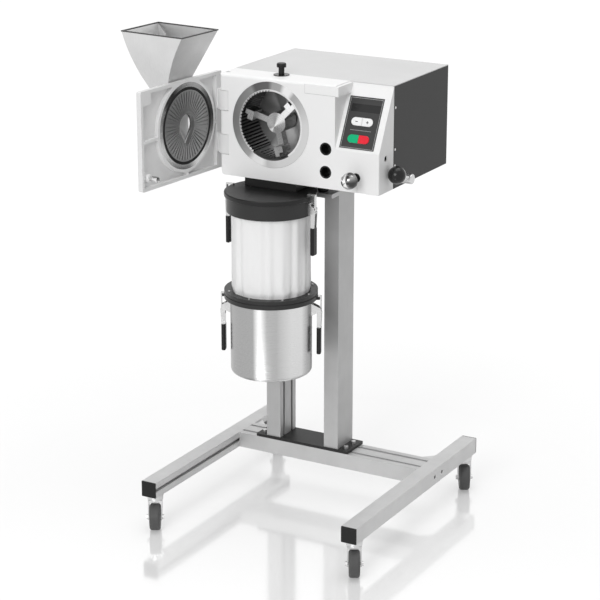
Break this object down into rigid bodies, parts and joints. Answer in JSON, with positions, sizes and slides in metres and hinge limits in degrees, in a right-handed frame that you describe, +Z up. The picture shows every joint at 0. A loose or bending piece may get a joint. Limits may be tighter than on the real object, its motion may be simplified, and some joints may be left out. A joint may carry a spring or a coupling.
{
  "type": "cross beater mill",
  "caption": "Laboratory cross beater mill on a mobile profile stand, with an open grinding chamber, a hinged door with a feed hopper, and a filter bag and container below.",
  "frame": {"origin": "on the floor, under the middle of the whole object with its door open", "axes": "+Z up, +X to the operator's right, and the chamber faces -Y"},
  "size_m": [0.7881, 0.7717, 1.376],
  "materials": {
    "profile_aluminium": "satin",
    "plate_aluminium": "satin",
    "cast_white": "painted white",
    "cast_dark": "painted dark",
    "black_plate": "matte",
    "black_plastic": "matte",
    "grey_plastic": "matte",
    "zinc_steel": "satin",
    "cover_white": "fine grain",
    "panel_grey": "smooth",
    "display_dark": "gloss",
    "key_green": "gloss",
    "key_red": "gloss",
    "key_white": "gloss",
    "sheet_light": "satin",
    "sheet_dark": "satin",
    "stainless": "brushed",
    "chrome": "polished",
    "rubber": "matte",
    "motor_iron": "painted",
    "dark_coat": "satin",
    "bag_cloth": "woven"
  },
  "bodies": {
    "stand": {"legs": "profile_aluminium", "leg_end_caps": "black_plastic", "crossbar": "profile_aluminium", "base_plate": "black_plate", "posts": "profile_aluminium", "support_plate": "plate_aluminium", "machine_feet": "rubber", "stand_fittings": "zinc_steel", "front_cover": "cover_white", "panel_bezel": "panel_grey", "display_window": "display_dark", "top_cover": "sheet_light", "rear_shell": "sheet_dark", "base_tray": "sheet_dark", "housing_screws": "zinc_steel", "housing_bushes": "black_plastic", "chamber_body": "stainless", "chamber_liners": "stainless", "bottom_sieve": "stainless", "outlet_chute": "cast_dark", "motor_body": "motor_iron", "collector_lid": "dark_coat", "bag_ring": "dark_coat", "clamp_ring": "dark_coat", "filter_bag": "bag_cloth", "container": "stainless", "latch_brackets": "chrome"},
    "rotor": {"rotor": "stainless", "drive_shaft": "zinc_steel"},
    "door": {"door_leaf": "cast_white", "door_ring": "stainless", "door_gasket": "rubber", "grinding_disc": "stainless", "door_bolt": "chrome", "hinge_arms": "cast_white", "feed_neck": "cast_white", "hopper": "stainless"},
    "plunger": {"plunger_knob": "black_plastic"},
    "clamp": {"clamp_knob": "chrome"},
    "lever": {"lock_lever": "black_plastic"},
    "start": {"start_key": "key_green"},
    "stop": {"stop_key": "key_red"},
    "minus": {"minus_key": "key_white"},
    "plus": {"plus_key": "key_white"},
    "fork_front_left": {"caster_fork_front_left": "zinc_steel"},
    "wheel_front_left": {"caster_wheel_front_left": "grey_plastic"},
    "fork_rear_left": {"caster_fork_rear_left": "zinc_steel"},
    "wheel_rear_left": {"caster_wheel_rear_left": "grey_plastic"},
    "fork_front_right": {"caster_fork_front_right": "zinc_steel"},
    "wheel_front_right": {"caster_wheel_front_right": "grey_plastic"},
    "fork_rear_right": {"caster_fork_rear_right": "zinc_steel"},
    "wheel_rear_right": {"caster_wheel_rear_right": "grey_plastic"},
    "latch_upper_right": {"latch_lever_upper_right": "chrome"},
    "hook_upper_right": {"latch_hook_upper_right": "chrome"},
    "latch_upper_left": {"latch_lever_upper_left": "chrome"},
    "hook_upper_left": {"latch_hook_upper_left": "chrome"},
    "latch_lower_right": {"latch_lever_lower_right": "chrome"},
    "hook_lower_right": {"latch_hook_lower_right": "chrome"},
    "latch_lower_left": {"latch_lever_lower_left": "chrome"},
    "hook_lower_left": {"latch_hook_lower_left": "chrome"}
  },
  "joints": [
    {"name": "door_hinge", "type": "hinge", "parent": "stand", "child": "door", "pos_m": [-0.1901, -0.0535, 1.122], "axis": [0, 0, 1], "range_deg": [-15, 95]},
    {"name": "rotor_spin", "type": "hinge", "parent": "stand", "child": "rotor", "pos_m": [-0.042, -0.083, 1.122], "axis": [0, 1, 0], "continuous": true},
    {"name": "plunger_lift", "type": "slide", "parent": "stand", "child": "plunger", "axis": [0, 0, 1], "range_m": [0, 0.008], "stiffness_N_per_m": 800, "springref_m": -0.004},
    {"name": "clamp_turn", "type": "hinge", "parent": "stand", "child": "clamp", "pos_m": [0.219, -0.083, 1.009], "axis": [0, -1, 0], "range_deg": [0, 90]},
    {"name": "lock_turn", "type": "hinge", "parent": "stand", "child": "lever", "pos_m": [0.2865, 0.045, 0.99], "axis": [-1, 0, 0], "range_deg": [-20, 90]},
    {"name": "start_press", "type": "slide", "parent": "stand", "child": "start", "axis": [0, 0.8946, -0.4468], "range_m": [0, 0.0012], "stiffness_N_per_m": 500, "springref_m": -0.001},
    {"name": "stop_press", "type": "slide", "parent": "stand", "child": "stop", "axis": [0, 0.8946, -0.4468], "range_m": [0, 0.0012], "stiffness_N_per_m": 500, "springref_m": -0.001},
    {"name": "minus_press", "type": "slide", "parent": "stand", "child": "minus", "axis": [0, 0.8946, -0.4468], "range_m": [0, 0.0012], "stiffness_N_per_m": 500, "springref_m": -0.001},
    {"name": "plus_press", "type": "slide", "parent": "stand", "child": "plus", "axis": [0, 0.8946, -0.4468], "range_m": [0, 0.0012], "stiffness_N_per_m": 500, "springref_m": -0.001},
    {"name": "swivel_front_left", "type": "hinge", "parent": "stand", "child": "fork_front_left", "pos_m": [-0.2705, -0.336, 0.1], "axis": [0, 0, 1], "continuous": true},
    {"name": "roll_front_left", "type": "hinge", "parent": "fork_front_left", "child": "wheel_front_left", "pos_m": [-0.26166, -0.35168, 0.0375], "axis": [0.8712, 0.4909, 0], "continuous": true},
    {"name": "swivel_rear_left", "type": "hinge", "parent": "stand", "child": "fork_rear_left", "pos_m": [-0.2705, 0.346, 0.1], "axis": [0, 0, 1], "continuous": true},
    {"name": "roll_rear_left", "type": "hinge", "parent": "fork_rear_left", "child": "wheel_rear_left", "pos_m": [-0.26166, 0.33032, 0.0375], "axis": [0.8712, 0.4909, 0], "continuous": true},
    {"name": "swivel_front_right", "type": "hinge", "parent": "stand", "child": "fork_front_right", "pos_m": [0.3565, -0.336, 0.1], "axis": [0, 0, 1], "continuous": true},
    {"name": "roll_front_right", "type": "hinge", "parent": "fork_front_right", "child": "wheel_front_right", "pos_m": [0.36534, -0.35168, 0.0375], "axis": [0.8712, 0.4909, 0], "continuous": true},
    {"name": "swivel_rear_right", "type": "hinge", "parent": "stand", "child": "fork_rear_right", "pos_m": [0.3565, 0.346, 0.1], "axis": [0, 0, 1], "continuous": true},
    {"name": "roll_rear_right", "type": "hinge", "parent": "fork_rear_right", "child": "wheel_rear_right", "pos_m": [0.36534, 0.33032, 0.0375], "axis": [0.8712, 0.4909, 0], "continuous": true},
    {"name": "latch_swing_upper_right", "type": "hinge", "parent": "stand", "child": "latch_upper_right", "pos_m": [0.091, -0.083, 0.9065], "axis": [0, -1, 0], "range_deg": [0, 95]},
    {"name": "hook_swing_upper_right", "type": "hinge", "parent": "latch_upper_right", "child": "hook_upper_right", "pos_m": [0.095, -0.083, 0.8975], "axis": [0, -1, 0], "range_deg": [-95, 0]},
    {"name": "latch_swing_upper_left", "type": "hinge", "parent": "stand", "child": "latch_upper_left", "pos_m": [-0.175, -0.083, 0.9065], "axis": [0, 1, 0], "range_deg": [0, 95]},
    {"name": "hook_swing_upper_left", "type": "hinge", "parent": "latch_upper_left", "child": "hook_upper_left", "pos_m": [-0.179, -0.083, 0.8975], "axis": [0, 1, 0], "range_deg": [-95, 0]},
    {"name": "latch_swing_lower_right", "type": "hinge", "parent": "stand", "child": "latch_lower_right", "pos_m": [0.08131, -0.03318, 0.609], "axis": [0.3746, -0.9272, 0], "range_deg": [0, 95]},
    {"name": "hook_swing_lower_right", "type": "hinge", "parent": "latch_lower_right", "child": "hook_lower_right", "pos_m": [0.08502, -0.03168, 0.6], "axis": [0.3746, -0.9272, 0], "range_deg": [-95, 0]},
    {"name": "latch_swing_lower_left", "type": "hinge", "parent": "stand", "child": "latch_lower_left", "pos_m": [-0.16531, -0.13282, 0.609], "axis": [-0.3746, 0.9272, 0], "range_deg": [0, 95]},
    {"name": "hook_swing_lower_left", "type": "hinge", "parent": "latch_lower_left", "child": "hook_lower_left", "pos_m": [-0.16902, -0.13432, 0.6], "axis": [-0.3746, 0.9272, 0], "range_deg": [-95, 0]}
  ],
  "couplings": [
    {"joint": "hook_swing_upper_right", "follows": "latch_swing_upper_right", "ratio": -1},
    {"joint": "hook_swing_upper_left", "follows": "latch_swing_upper_left", "ratio": -1},
    {"joint": "hook_swing_lower_right", "follows": "latch_swing_lower_right", "ratio": -1},
    {"joint": "hook_swing_lower_left", "follows": "latch_swing_lower_left", "ratio": -1}
  ]
}
